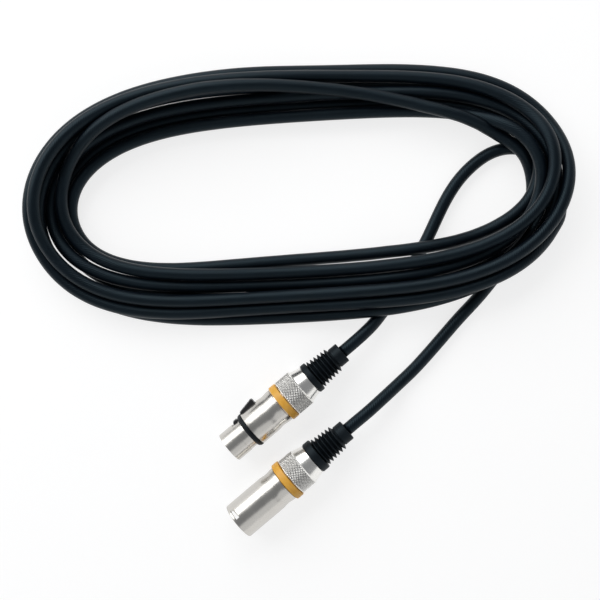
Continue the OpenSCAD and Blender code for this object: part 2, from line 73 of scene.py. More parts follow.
# The female tip stands back from the male tip, and the two axes lie side by side
TIP_SETBACK, AXIS_SPACING = 20.3, 31
MALE_TIP_X = -(TIP_SETBACK + FEMALE_BOOT_END) / 2
FEMALE_TIP_X = MALE_TIP_X + TIP_SETBACK
FEMALE_Y, FEMALE_Z = 14.7625, 10.0
MALE_Y, MALE_Z = FEMALE_Y - AXIS_SPACING, 10.5
FEMALE_EXIT = (FEMALE_TIP_X + FEMALE_BOOT_END, FEMALE_Y, FEMALE_Z)
MALE_EXIT = (MALE_TIP_X + MALE_BOOT_END, MALE_Y, MALE_Z)

# The coil's oval: its middle, its turn on the floor, and its half length and half width
OVAL_MIDDLE = np.array([82, 89.6])
OVAL_TURN = math.radians(-40.2)
OVAL_LONG, OVAL_SHORT, OVAL_SKEW = 133, 67.4, 9
# What flattens its sides: the cosine and sine of three times the angle, along and across
LONG_COS_3, LONG_SIN_3 = 2.6, -1.3
SHORT_COS_3, SHORT_SIN_3 = 1.2, 6.2

# ---------------------------------------------------------------- camera

# Straight down on the coil, with its oval level and the connectors pointing to the lower left
camera_data = bpy.data.cameras.new("camera")
camera_data.sensor_width = 36
camera_data.lens = 58.8
camera_data.clip_start = 0.01
camera_data.clip_end = 10
camera = bpy.data.objects.new("camera", camera_data)
camera.location = (0.0477, 0.04835, 0.5)
camera.rotation_euler = (0, 0, OVAL_TURN)
bpy.context.scene.collection.objects.link(camera)
bpy.context.scene.camera = camera

# ---------------------------------------------------------------- node helpers


def material(name, color, roughness, metallic=0.0, **sockets):
    """A new material with its shader's own sockets set."""
    made = bpy.data.materials.new(name)
    made.use_nodes = True
    shader = made.node_tree.nodes["Principled BSDF"]
    shader.inputs["Base Color"].default_value = (*color, 1)
    shader.inputs["Roughness"].default_value = roughness
    shader.inputs["Metallic"].default_value = metallic
    for socket, value in sockets.items():
        shader.inputs[socket.replace("_", " ")].default_value = value
    return made


def node(made, kind, **settings):
    """A node of that kind; settings are its inputs by name, or its own properties."""
    added = made.node_tree.nodes.new(kind)
    for key, value in settings.items():
        if hasattr(added, key):
            setattr(added, key, value)
        else:
            added.inputs[key.replace("_", " ")].default_value = value
    return added


def link(made, source, output, target, socket):
    """Joins two nodes."""
    made.node_tree.links.new(source.outputs[output], target.inputs[socket])


def shader_of(made):
    """The material's main shader."""
    return made.node_tree.nodes["Principled BSDF"]


def placed(made, scale):
    """The piece's own coordinates, stretched by scale per metre."""
    where = node(made, "ShaderNodeTexCoord")
    mapping = node(made, "ShaderNodeMapping", Scale=scale)
    link(made, where, "Object", mapping, "Vector")
    return mapping


def noise(made, scale, detail=3.0, rough=0.5):
    """Noise over the piece, with scale as cells per metre on each axis."""
    mapping = placed(made, scale)
    made_noise = node(made, "ShaderNodeTexNoise", Scale=1.0, Detail=detail, Roughness=rough)
    link(made, mapping, "Vector", made_noise, "Vector")
    return made_noise


def spread(made, source, output, low, high, to_low, to_high):
    """Maps low..high of a texture to to_low..to_high."""
    ranged = node(made, "ShaderNodeMapRange")
    ranged.inputs["From Min"].default_value = low
    ranged.inputs["From Max"].default_value = high
    ranged.inputs["To Min"].default_value = to_low
    ranged.inputs["To Max"].default_value = to_high
    link(made, source, output, ranged, "Value")
    return ranged


def tinted(made, source, output, dark, light, low=0.3, high=0.7):
    """Colours the piece between dark and light by a texture."""
    ramp = node(made, "ShaderNodeValToRGB")
    ramp.color_ramp.elements[0].position = low
    ramp.color_ramp.elements[1].position = high
    ramp.color_ramp.elements[0].color = (*dark, 1)
    ramp.color_ramp.elements[1].color = (*light, 1)
    link(made, source, output, ramp, "Fac")
    link(made, ramp, "Color", shader_of(made), "Base Color")


def bumped(made, source, output, distance, strength=1.0, below=None):
    """Bump of that height, in metres, over an earlier bump if one is given."""
    bump = node(made, "ShaderNodeBump", Distance=distance, Strength=strength)
    link(made, source, output, bump, "Height")
    if below is not None:
        link(made, below, "Normal", bump, "Normal")
    link(made, bump, "Normal", shader_of(made), "Normal")
    return bump


# ---------------------------------------------------------------- materials


def satin_nickel(name, tone):
    """Satin nickel: fine turning marks round the axis, faint clouds and handling marks."""
    made = material(name, tone, 0.27, 1.0)
    marks = noise(made, (7000, 90, 90), 2, 0.6)
    clouds = noise(made, (120, 90, 90), 3, 0.5)
    rough = spread(made, clouds, "Fac", 0.3, 0.7, 0.23, 0.28)
    link(made, rough, "Result", shader_of(made), "Roughness")
    tinted(made, clouds, "Fac", [0.96 * c for c in tone], tone)
    bumped(made, marks, "Fac", 0.000006, 0.2)
    return made


def knurled_nickel(name, tone):
    """Satin nickel with painted shade that darkens it into the grooves, which the piece's groove
    attribute gives.
    """
    made = satin_nickel(name, tone)
    tint = shader_of(made).inputs["Base Color"].links[0].from_socket
    # Painted shade: the deeper the groove, the more the tint is mixed towards dark grey
    groove = node(made, "ShaderNodeAttribute", attribute_name="groove")
    amount = spread(made, groove, "Fac", 0.45, 0.8, 0, 0.9)
    groove_shade_mix = node(made, "ShaderNodeMix", data_type="RGBA")
    made.node_tree.links.new(amount.outputs["Result"], groove_shade_mix.inputs[0])
    made.node_tree.links.new(tint, groove_shade_mix.inputs[6])
    groove_shade_mix.inputs[7].default_value = (0.14, 0.137, 0.13, 1)
    made.node_tree.links.new(groove_shade_mix.outputs[2], shader_of(made).inputs["Base Color"])
    return made


def amber_plastic(name):
    """Amber plastic: even colour with slight clouding, fine moulded grain."""
    made = material(name, (0.88, 0.46, 0.06), 0.42, Specular_IOR_Level=0.5)
    clouds = noise(made, (400, 400, 400), 3, 0.5)
    grain = noise(made, (4500, 4500, 4500), 2, 0.5)
    tinted(made, clouds, "Fac", (0.85, 0.41, 0.042), (0.93, 0.51, 0.078))
    rough = spread(made, grain, "Fac", 0.3, 0.7, 0.36, 0.5)
    link(made, rough, "Result", shader_of(made), "Roughness")
    bumped(made, grain, "Fac", 0.00001, 0.3)
    return made


def black_rubber(name, tone, roughness):
    """Rubber: dull blue-black with a moulded grain and paler, drier patches."""
    made = material(name, tone, roughness, Specular_IOR_Level=0.23,
                    Specular_Tint=(0.7, 0.9, 1, 1))
    patches = noise(made, (160, 160, 160), 4, 0.6)
    grain = noise(made, (2600, 2600, 2600), 3, 0.55)
    tinted(made, patches, "Fac", tone, [1.7 * c for c in tone])
    rough = spread(made, patches, "Fac", 0.3, 0.7, roughness - 0.07, roughness + 0.08)
    link(made, rough, "Result", shader_of(made), "Roughness")
    bumped(made, grain, "Fac", 0.00003, 0.5)
    return made


def cable_jacket(name):
    """Cable jacket: soft blue-black skin with a fine grain, slightly drier patches and faint
    slanting marks that follow the piece's lay attribute."""
    made = material(name, (0.002, 0.004, 0.007), 0.4, Specular_IOR_Level=0.27,
                    Specular_Tint=(0.6, 0.86, 1, 1))
    patches = noise(made, (60, 60, 60), 4, 0.6)
    grain = noise(made, (2200, 2200, 2200), 3, 0.6)
    ripple = noise(made, (260, 260, 260), 2, 0.5)
    lay = node(made, "ShaderNodeAttribute", attribute_name="lay")
    stretch = node(made, "ShaderNodeMapping", Scale=(480, 480, 0))
    link(made, lay, "Vector", stretch, "Vector")
    slant = node(made, "ShaderNodeTexWave", Scale=1.0, Distortion=1.5, Detail=1.0)
    slant.bands_direction = "DIAGONAL"
    link(made, stretch, "Vector", slant, "Vector")
    tinted(made, patches, "Fac", (0.0015, 0.003, 0.0055), (0.0025, 0.005, 0.009))
    rough = spread(made, patches, "Fac", 0.3, 0.7, 0.34, 0.46)
    link(made, rough, "Result", shader_of(made), "Roughness")
    lower = bumped(made, ripple, "Fac", 0.00008, 0.25)
    woven = bumped(made, slant, "Fac", 0.00012, 0.5, lower)
    bumped(made, grain, "Fac", 0.00002, 0.35, woven)
    return made


def gold_plate(name):
    """Gold plating with fine turning marks."""
    made = material(name, (0.83, 0.60, 0.25), 0.24, 1.0)
    marks = noise(made, (7000, 500, 500), 2, 0.6)
    clouds = noise(made, (500, 500, 500), 3, 0.5)
    tinted(made, clouds, "Fac", (0.76, 0.52, 0.2), (0.87, 0.65, 0.29))
    rough = spread(made, clouds, "Fac", 0.3, 0.7, 0.18, 0.32)
    link(made, rough, "Result", shader_of(made), "Roughness")
    bumped(made, marks, "Fac", 0.00001, 0.3)
    return made


def moulded(name, dark, light, roughness):
    """Moulded plastic with a fine grain."""
    made = material(name, light, roughness)
    clouds = noise(made, (300, 300, 300), 3, 0.5)
    grain = noise(made, (3800, 3800, 3800), 2, 0.5)
    tinted(made, clouds, "Fac", dark, light)
    rough = spread(made, grain, "Fac", 0.3, 0.7, roughness - 0.05, roughness + 0.07)
    link(made, rough, "Result", shader_of(made), "Roughness")
    bumped(made, grain, "Fac", 0.00001, 0.4)
    return made


def twisted_copper(name):
    """Bare copper strands, seen as slanting stripes."""
    made = material(name, (0.72, 0.38, 0.2), 0.3, 1.0)
    mapping = placed(made, (900, 500, 500))
    wave = node(made, "ShaderNodeTexWave", Scale=1.0, Distortion=0.6)
    wave.bands_direction = "DIAGONAL"
    link(made, mapping, "Vector", wave, "Vector")
    tinted(made, wave, "Fac", (0.6, 0.28, 0.13), (0.78, 0.44, 0.25), 0.1, 0.8)
    bumped(made, wave, "Fac", 0.0001, 0.6)
    return made


NICKEL = satin_nickel("satin_nickel", (0.64, 0.62, 0.585))
NICKEL_KNURLED = knurled_nickel("knurled_nickel", (0.92, 0.91, 0.88))
AMBER = amber_plastic("amber_plastic")
GASKET = black_rubber("gasket_rubber", (0.005, 0.005, 0.006), 0.48)
BOOT = black_rubber("boot_rubber", (0.003, 0.0042, 0.006), 0.5)
JACKET = cable_jacket("cable_jacket")
GOLD = gold_plate("gold_plate")
STEEL = satin_nickel("spring_steel", (0.56, 0.56, 0.57))
BLACK = moulded("black_plastic", (0.010, 0.010, 0.011), (0.018, 0.018, 0.020), 0.42)
LATCH_BLACK = moulded("latch_plastic", (0.012, 0.012, 0.013), (0.020, 0.020, 0.023), 0.38)
NATURAL = moulded("natural_plastic", (0.66, 0.65, 0.6), (0.76, 0.75, 0.7), 0.45)
RED = moulded("red_insulation", (0.34, 0.03, 0.02), (0.44, 0.045, 0.035), 0.4)
WHITE = moulded("white_insulation", (0.68, 0.67, 0.63), (0.78, 0.77, 0.73), 0.4)
COPPER = twisted_copper("twisted_copper")

CAD_FINISH = {
    "shell": NICKEL, "gasket": GASKET, "insert": BLACK, "contact": GOLD, "pin": GOLD,
    "latch": LATCH_BLACK, "latch_pin": STEEL, "latch_spring": STEEL, "ground_contact": GOLD,
    "coding_ring": AMBER, "chuck": NATURAL, "bushing": NICKEL_KNURLED, "boot": BOOT,
    "cable_end": JACKET, "core_hot": RED, "core_cold": WHITE, "shield_drain": COPPER,
    "coil": JACKET, "lead": JACKET,
}
for name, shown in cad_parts.items():
    kind = name.split("_", 1)[1].rstrip("_123")
    for slot in shown.material_slots:
        slot.material = CAD_FINISH[kind]

# ---------------------------------------------------------------- mesh helpers


def add_piece(name, points, faces, finish, body, node_names, sharp=None):
    """A smooth mesh from points in millimetres and faces, which rides on a body and stands for
    the named nodes; edges sharper than the angle sharp stay sharp."""
    mesh = bpy.data.meshes.new(name)
    mesh.from_pydata((points * MM).tolist(), [], faces)
    mesh.polygons.foreach_set("use_smooth", np.ones(len(mesh.polygons), bool))
    mesh.update()
    if sharp is not None:
        mesh.set_sharp_from_angle(angle=math.radians(sharp))
    mesh.materials.append(finish)
    made = bpy.data.objects.new(name, mesh)
    bpy.context.scene.collection.objects.link(made)
    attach(made, body)
    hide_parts(*node_names)
    return made


def grid_faces(rows, columns, wrap_rows=True):
    """Quads of a grid whose points are numbered row by row, each row closed into a ring."""
    i = np.arange(rows if wrap_rows else rows - 1)[:, None]
    j = np.arange(columns)[None, :]
    ni, nj = (i + 1) % rows, (j + 1) % columns
    quads = np.stack(
        [i * columns + j, i * columns + nj, ni * columns + nj, ni * columns + j], axis=-1
    )
    return quads.reshape(-1, 4)


# Rounded corners: the curve's points, the most of a neighbouring flat that the cut may take, and
# how many cuts from the corner the point lies that keeps the flat flat
CURVE_POINTS, MOST_OF_FLAT, FLAT_AT = 5, 0.42, 1.15


def eased_profile(corners, radius):
    """Closed profile of (x, r) corners, each rounded off by a quarter curve.

    A corner C between neighbours A and B becomes the curve that starts at C towards A, is pulled
    towards C and ends towards B; a point just past each end keeps the flats beside it flat.
    """
    c = np.array([[p[0], p[1]] for p in corners], float)
    size = np.array([p[2] if len(p) > 2 else radius for p in corners], float)
    a, b = np.roll(c, 1, 0) - c, np.roll(c, -1, 0) - c
    la, lb = np.linalg.norm(a, axis=1), np.linalg.norm(b, axis=1)
    cut = np.minimum(size, MOST_OF_FLAT * np.minimum(la, lb))
    ua, ub = a / la[:, None], b / lb[:, None]
    p0, p2 = c + ua * cut[:, None], c + ub * cut[:, None]
    t = np.linspace(0, 1, CURVE_POINTS)[None, :, None]
    curve = (1 - t) ** 2 * p0[:, None] + 2 * t * (1 - t) * c[:, None] + t**2 * p2[:, None]
    before = c + ua * (cut * FLAT_AT)[:, None]
    after = c + ub * (cut * FLAT_AT)[:, None]
    return np.concatenate([before[:, None], curve, after[:, None]], axis=1).reshape(-1, 2)


def in_female(x, across, up):
    """Row-frame point of the female connector: its latch side faces +Y."""
    return np.stack([FEMALE_TIP_X + x, FEMALE_Y + up, FEMALE_Z - across], axis=-1)


def in_male(x, across, up):
    """Row-frame point of the male connector: its window is rolled from +Z towards +Y."""
    c, s = math.cos(MALE_ROLL), math.sin(MALE_ROLL)
    return np.stack(
        [MALE_TIP_X + x, MALE_Y + across * c + up * s, MALE_Z - across * s + up * c], axis=-1)


def turning(name, place, corners, finish, body, node_name, radius, segments):
    """A ring turned about the connector's axis: point (x, r) of the closed profile goes to
    (x, r sin a, r cos a) for angle a."""
    profile = eased_profile(corners, radius)
    a = np.linspace(0, 2 * np.pi, segments, endpoint=False)
    x = np.repeat(profile[:, :1], segments, axis=1)
    r = profile[:, 1:]
    points = place(x, r * np.sin(a), r * np.cos(a)).reshape(-1, 3)
    faces = grid_faces(len(profile), segments)
    add_piece(name, points, faces.tolist(), finish, body, [node_name])


# ---------------------------------------------------------------- route of the cable

# How far each loop lies in from the outer oval, given at eight places to a loop
LOOP_INSETS = np.array([
    0.3, 0.3, 1.6, 5.8, -1.2, 3, 3.2, -0.5,
    -0.6, 2.8, 8.2, 11, 5.4, 6.6, 5.5, 3.6,
    4.6, 10.4, 21, 21.8, 20.6, 18.4, 10.7, 6.6,
    26.8, 18, 10.6, 8.6, 10.4, 15.5, 17.6, 17.2,
    14.6, 14, 27.5, 29.2, 20.8, 20.3, 23.4, 22.4,
    19.6, 15.8, 14.4, 16.2, 14.4, 10.2, 13.4, 12.6,
    10.6, 10, 0.8, -1.2, -1.2, 7, 7.1, 7.2,
    5.8, 7.4, 8.4, 6,
])
PLACES = 8
LOOPS, STEPS = 7, 96
FIRST_STEP, LAST_STEP = 16, LOOPS * STEPS + 20

# Which loop lies over which; one short stretch lies over all, and both ends lie under all
LAY_RANK = np.array([5, 6, 7, 0, 1, 2, 3, 4])
OVER_ALL, OVER_ALL_FROM, OVER_ALL_TO = 9, 2.999, 3.02
UNDER_ALL, START_UNDER_TO, END_UNDER_FROM = -1, 0.19, 6.865

# How the coil settles: rounds, sink a round, passes of easing a round and their strength
ROUNDS, SINK, PASSES, EASING = 600, 0.04, 5, 0.06
HEIGHT_PER_RANK = 2.0

# Where the coil joins its leads it doesn't pass over them: for HELD_STEPS at its start, held at
# START_HEIGHT, and for LANDING_STEPS at its end, the last HELD_STEPS of them on the floor
START_HEIGHT = 4.5
HELD_STEPS, LANDING_STEPS = 3, 8

# The leads' centre points (x, y, height); a height of 0 stands for lying on the floor
FEMALE_LEAD_ROUTE = [
    (61.5, 14.9, 9), (68.5, 15.4, 6.6), (75.5, 16.7, 4.2), (82.5, 18.3, 0),
    (90, 20.5, 0), (100, 24, 0), (110.5, 27.8, 0), (120, 31.8, 0),
    (129, 36, 0), (138.5, 40, 0), (149, 43, 0), (159, 44, 0),
    (169, 43, 0), (177.5, 39.2, 0), (184, 32.5, 0), (187.5, 23.9, 0),
    (187.5, 14.5, 4), (184, 5.9, 5.2), (178.5, 0, 6.6),
]
MALE_LEAD_ROUTE = [
    (38, -16.3, 10.2), (45, -16.3, 8.4), (52.5, -16.3, 5.9), (60, -16.2, 3.8),
    (68, -15.8, 0), (78, -14.6, 0), (91, -12.6, 0), (104, -10.6, 0),
    (117, -9, 0), (128, -7, 0), (137.5, -4.6, 0),
]


def insets(w):
    """Distance in from the outer oval at w loops: the mean of seven straight-line readings of the
    table, a forty-eighth of a loop apart."""
    s = np.clip(w[:, None] + np.arange(-3, 4) / 48, 0, None) * PLACES
    return np.interp(s, np.arange(len(LOOP_INSETS)), LOOP_INSETS).mean(axis=1)


def loop_points(w):
    """Floor-plan points of the winding at w loops.

    The oval at angle t is (long cos t + a cos 3t + b sin 3t, short sin t + skew cos t + c cos 3t
    + d sin 3t). Each point is moved in by the inset, square to the run there, which is the oval's
    derivative, and the whole is turned about the oval's middle.
    """
    t = np.radians(45 - 360 * w)
    cos_1, sin_1, cos_3, sin_3 = np.cos(t), np.sin(t), np.cos(3 * t), np.sin(3 * t)
    p = np.stack([
        OVAL_LONG * cos_1 + LONG_COS_3 * cos_3 + LONG_SIN_3 * sin_3,
        OVAL_SHORT * sin_1 + OVAL_SKEW * cos_1 + SHORT_COS_3 * cos_3 + SHORT_SIN_3 * sin_3,
    ], axis=1)
    run = np.stack([
        -OVAL_LONG * sin_1 + 3 * (LONG_SIN_3 * cos_3 - LONG_COS_3 * sin_3),
        OVAL_SHORT * cos_1 - OVAL_SKEW * sin_1 + 3 * (SHORT_SIN_3 * cos_3 - SHORT_COS_3 * sin_3),
    ], axis=1)
    run /= np.linalg.norm(run, axis=1)[:, None]
    p += insets(w)[:, None] * np.stack([-run[:, 1], run[:, 0]], axis=1)
    c, s = math.cos(OVAL_TURN), math.sin(OVAL_TURN)
    return OVAL_MIDDLE + p @ np.array([[c, s], [-s, c]])


def unit(v):
    """The direction of v."""
    return v / np.linalg.norm(v)


def rise(d):
    """Height at which a cable passes over one that lies d to its side."""
    return np.sqrt(np.maximum(LAY_PITCH**2 - d**2, 0))


def lift_over(p, route):
    """Height over the floor at which a cable at each point passes over a route: the highest, over
    the route's straight runs, of the run's own height there and the rise over it."""
    a, ab = route[:-1], np.diff(route, axis=0)
    flat = ab[:, :2]
    s = np.clip(((p[:, None] - a[:, :2]) * flat).sum(2) / (flat**2).sum(1), 0, 1)
    d = np.linalg.norm(p[:, None] - a[:, :2] - s[..., None] * flat, axis=2)
    height = np.maximum(a[:, 2] + s * ab[:, 2] - CORD_R, 0) + rise(d)
    return np.where(d < LAY_PITCH, height, 0).max(axis=1)


def running_mean(z):
    """Mean with the neighbours on both sides, with the ends repeated."""
    return np.convolve(np.pad(z, 1, mode="edge"), np.ones(3) / 3, "valid")


def eased(z):
    """Heights with their bends eased a little: a share of the fourth difference is taken off."""
    padded = np.pad(z, 2)
    return z - EASING * (padded[:-4] - 4 * padded[1:-3] + 6 * z - 4 * padded[3:-1] + padded[4:])


def coil_heights(step, p, female_route, male_route):
    """Height of each step over the floor.

    The winding starts high and settles: at each round it sinks a little, its bends are eased,
    each step and the one beside it in another loop are pushed apart to LAY_PITCH, the one laid
    later upwards, and none sinks below the leads.
    """
    w = step / STEPS
    depth = insets(w)
    n = len(w)
    rank = LAY_RANK[np.floor(w + 1e-9).astype(int)]
    rank = np.where((w > OVER_ALL_FROM) & (w < OVER_ALL_TO), OVER_ALL, rank)
    rank = np.where((w > END_UNDER_FROM) | (w < START_UNDER_TO), UNDER_ALL, rank)
    floor = np.maximum(lift_over(p, female_route), lift_over(p, male_route))
    floor[:HELD_STEPS] = 0
    floor[-LANDING_STEPS:] = 0
    z = HEIGHT_PER_RANK * rank
    for _ in range(ROUNDS):
        z = z - SINK
        for _ in range(PASSES):
            z = eased(z)
        for k in range(STEPS, LOOPS * STEPS, STEPS):
            near = np.abs(depth[:n - k] - depth[k:])
            above = np.where(rank[:n - k] > rank[k:], 1, -1)
            lack = np.where(near < LAY_PITCH, rise(near) - above * (z[:n - k] - z[k:]), 0)
            push = 0.5 * np.maximum(lack, 0) * above
            z[:n - k] += push
            z[k:] -= push
        z = np.maximum(z, floor)
        z[:HELD_STEPS] = START_HEIGHT
        z[-HELD_STEPS:] = 0
    for _ in range(3):
        z = running_mean(z)
    return z


# The cable's length is measured in short steps; its rings stand further apart
FINE_GAP, RING_GAP = 0.5, 2.0


def smooth_path(points, gap):
    """Points at even gaps along the natural cubic through the given points, by chord length."""
    t = np.concatenate([[0], np.cumsum(np.linalg.norm(np.diff(points, axis=0), axis=1))])
    h = np.diff(t)
    n = len(t)
    m = np.zeros((n, n))
    m[0, 0] = m[-1, -1] = 1
    i = np.arange(1, n - 1)
    m[i, i - 1], m[i, i], m[i, i + 1] = h[:-1], 2 * (h[:-1] + h[1:]), h[1:]
    slope = np.diff(points, axis=0) / h[:, None]
    right = np.zeros_like(points)
    right[1:-1] = 6 * (slope[1:] - slope[:-1])
    bend = np.linalg.solve(m, right)

    def at(s):
        k = np.clip(np.searchsorted(t, s, side="right") - 1, 0, n - 2)
        u, v = (s - t[k])[:, None], (t[k + 1] - s)[:, None]
        hk = h[k][:, None]
        return (bend[k] * v**3 + bend[k + 1] * u**3) / (6 * hk) \
            + (points[k] / hk - bend[k] * hk / 6) * v \
            + (points[k + 1] / hk - bend[k + 1] * hk / 6) * u

    fine = at(np.linspace(0, t[-1], int(t[-1] / FINE_GAP)))
    length = np.concatenate([[0], np.cumsum(np.linalg.norm(np.diff(fine, axis=0), axis=1))])
    even = np.linspace(0, length[-1], int(round(length[-1] / gap)) + 1)
    return np.stack([np.interp(even, length, fine[:, k]) for k in range(3)], axis=1), length[-1]


steps = np.arange(FIRST_STEP, LAST_STEP + 1)
plan = loop_points(steps / STEPS)

# Each lead leaves its boot straight, and the male lead lies in line with the coil's end
STRAIGHT_RUN, RUN_OUT = 7, 6
run_out = plan[-1] + RUN_OUT * unit(plan[-1] - plan[-2])
female_route = np.array(
    [FEMALE_EXIT, (FEMALE_EXIT[0] + STRAIGHT_RUN, *FEMALE_EXIT[1:])] + FEMALE_LEAD_ROUTE)
male_route = np.array(
    [MALE_EXIT, (MALE_EXIT[0] + STRAIGHT_RUN, *MALE_EXIT[1:])] + MALE_LEAD_ROUTE
    + [(*run_out, 0)])
heights = coil_heights(steps, plan, np.vstack([female_route, [*plan[0], 0]]),
                       np.vstack([male_route, [*plan[-1], 0]]))
heights[-2:] = 0
coil_route = np.column_stack([plan, CORD_R + heights])
female_route[:, 2] = np.maximum(female_route[:, 2], CORD_R)
male_route[:, 2] = np.maximum(male_route[:, 2], CORD_R)
whole_route = np.vstack([female_route, coil_route, male_route[::-1]])
cable_path, cable_length = smooth_path(whole_route, RING_GAP)
cable_path[:, 2] = np.maximum(cable_path[:, 2], CORD_R)


def cable_tube(name, path, sides):
    """Round tube, closed at both ends: ring i is centre + R (cos b side + sin b up), with side
    level and square to the run, and its first point is the lowest. Its lay attribute holds the
    length along the cable and the arc round it from the lowest point, in metres."""
    run = np.gradient(path, axis=0)
    run /= np.linalg.norm(run, axis=1)[:, None]
    side = np.cross([0, 0, 1], run)
    side /= np.linalg.norm(side, axis=1)[:, None]
    up = np.cross(run, side)
    b = np.linspace(0, 2 * np.pi, sides, endpoint=False) - np.pi / 2
    rings = path[:, None] + CORD_R * (
        np.cos(b)[None, :, None] * side[:, None] + np.sin(b)[None, :, None] * up[:, None])
    faces = grid_faces(len(path), sides, wrap_rows=False)[:, ::-1].tolist()
    last = (len(path) - 1) * sides
    faces += [list(range(sides)), [last + k for k in range(sides)][::-1]]
    made = add_piece(name, rings.reshape(-1, 3), faces, JACKET, "main",
                     ["cable_coil", "female_lead", "male_lead"])
    along = np.concatenate([[0], np.cumsum(np.linalg.norm(np.diff(path, axis=0), axis=1))])
    lay = np.zeros((len(path), sides, 3))
    lay[..., 0] = along[:, None] * MM
    lay[..., 1] = CORD_R * MM * (b + np.pi / 2)
    made.data.attributes.new("lay", "FLOAT_VECTOR", "POINT").data.foreach_set("vector", lay.ravel())
    return made


cable = cable_tube("cable", cable_path, 24)

# ---------------------------------------------------------------- connector shapes


def wall(corners, radius):
    """Open run of (x, r) corners with each inner corner eased as in eased_profile."""
    closed = eased_profile(corners, radius).reshape(len(corners), CURVE_POINTS + 2, 2)
    ends = [np.array([corners[0][:2]], float), np.array([corners[-1][:2]], float)]
    return np.concatenate([ends[0], closed[1:-1].reshape(-1, 2), ends[1]])


WAIST_LENGTH, WAIST_DEPTH = 8.0, 0.35


def waist(front, r):
    """Shallow waist: r - depth (1 - cos b) / 2, with b once round over its length."""
    b = np.linspace(0, 2 * np.pi, 17)
    return np.column_stack(
        [front + WAIST_LENGTH * b / (2 * np.pi), r - WAIST_DEPTH * (1 - np.cos(b)) / 2])


def pierced_turning(name, place, front, through, rear, half_width, finish, body, node_name):
    """A turned wall with one straight-sided opening on its upper side.

    through holds (x, outer r, inner r) from the opening's front to its rear; rear goes on from
    its outer end round to its inner end, and front from there back to the start. Ring i has its
    opening between the angles -+asin(half_width / r), and the rest of its points spread evenly.
    """
    through = np.array(through, float)
    k = len(through)
    outer, inner = through[:, :2], through[::-1][:, [0, 2]]
    profile = np.concatenate([outer, rear, inner, front])
    across, rest = 9, 150
    edge = np.arcsin(half_width / profile[:, 1])[:, None]
    f = np.linspace(-1, 1, across)[None, :]
    g = np.linspace(0, 1, rest + 2)[None, 1:-1]
    a = np.concatenate([edge * f, edge + g * (2 * np.pi - 2 * edge)], axis=1)
    columns = across + rest
    x, r = np.repeat(profile[:, :1], columns, axis=1), profile[:, 1:]
    points = place(x, r * np.sin(a), r * np.cos(a)).reshape(-1, 3)
    quads = grid_faces(len(profile), columns)
    row, column = quads[:, 0] // columns, quads[:, 0] % columns
    first_inner = k + len(rear)
    in_rows = (row < k - 1) | ((row >= first_inner) & (row < first_inner + k - 1))
    quads = quads[~(in_rows & (column < across - 1))]
    o = np.arange(k)
    i = first_inner + k - 1 - o
    walls = []
    for c in (0, across - 1):
        walls.append(np.stack([o[:-1], o[1:], i[1:], i[:-1]], axis=1) * columns + c)
    c = np.arange(across - 1)
    for e in (0, k - 1):
        walls.append(np.stack([o[e] * columns + c, o[e] * columns + c + 1,
                               i[e] * columns + c + 1, i[e] * columns + c], axis=1))
    faces = np.concatenate([quads, *walls])
    add_piece(name, points, faces.tolist(), finish, body, [node_name], sharp=40)


def knurl(x, a, start, end):
    """How deep a diamond knurl lies at (x, a), from 0 on a crest to 1 in a groove: two sets of V
    grooves cross, the deeper of the two counts, and both run out at the collar's edges."""
    along, round_it = (x - start) / KNURL_PITCH, a * KNURL_COUNT / (2 * np.pi)
    u, v = round_it + along, round_it - along
    ridges = np.minimum(np.abs(u - np.round(u)), np.abs(v - np.round(v))) * 2
    front, rear = (x - start) / KNURL_FADE, (end - x) / KNURL_FADE
    return (1 - ridges) * np.clip(front, 0, 1) * np.clip(rear, 0, 1)


def knurled_bushing(name, place, collar_x, cone_x, cone_end, cone_r, body, node_name):
    """Bushing: spigot, knurled collar and cone, turned; the collar's rings carry the knurl."""
    knurl_start, knurl_end = collar_x + COLLAR_EDGE, cone_x - COLLAR_EDGE
    rows = int((cone_x - collar_x - 2 * COLLAR_EDGE) / KNURL_PITCH * KNURL_STEPS)
    collar = np.column_stack([knurl_start + np.arange(rows + 1) * KNURL_PITCH / KNURL_STEPS,
                              np.full(rows + 1, COLLAR_R)])
    ahead = wall([(collar_x - 2.5, BUSHING_BORE_R), (collar_x - 6, BUSHING_BORE_R),
                  (collar_x - 6, SPIGOT_R), (collar_x, SPIGOT_R), (collar_x, 9.6),
                  (knurl_start, COLLAR_R)], 0.12)
    behind = wall([(knurl_end, COLLAR_R), (cone_x, 9.65), (cone_x, cone_r),
                   (cone_end, cone_r - 1.38), (cone_end, BUSHING_NECK_R),
                   (cone_end - 6, BUSHING_NECK_R), (cone_end - 6, BUSHING_BORE_R),
                   (collar_x, BUSHING_BORE_R)], 0.12)
    profile = np.concatenate([ahead[:-1], collar, behind])
    columns = KNURL_STEPS * KNURL_COUNT
    a = np.linspace(0, 2 * np.pi, columns, endpoint=False)[None, :]
    x = np.repeat(profile[:, :1], columns, axis=1)
    on_collar = profile[:, 1:] > COLLAR_R - 0.02
    deep = np.where(on_collar, knurl(x, a, knurl_start, knurl_end), 0)
    r = profile[:, 1:] - KNURL_DEPTH * deep
    points = place(x, r * np.sin(a), r * np.cos(a)).reshape(-1, 3)
    faces = grid_faces(len(profile), columns)
    made = add_piece(name, points, faces.tolist(), NICKEL_KNURLED, body, [node_name],
                     sharp=60)
    # The groove depth per point, which the material turns into painted shade in the grooves
    groove_shade_depth = made.data.attributes.new("groove", "FLOAT", "POINT")
    groove_shade_depth.data.foreach_set("value", deep.ravel())


RIB_COUNT, RIB_PITCH = 6, 2.12


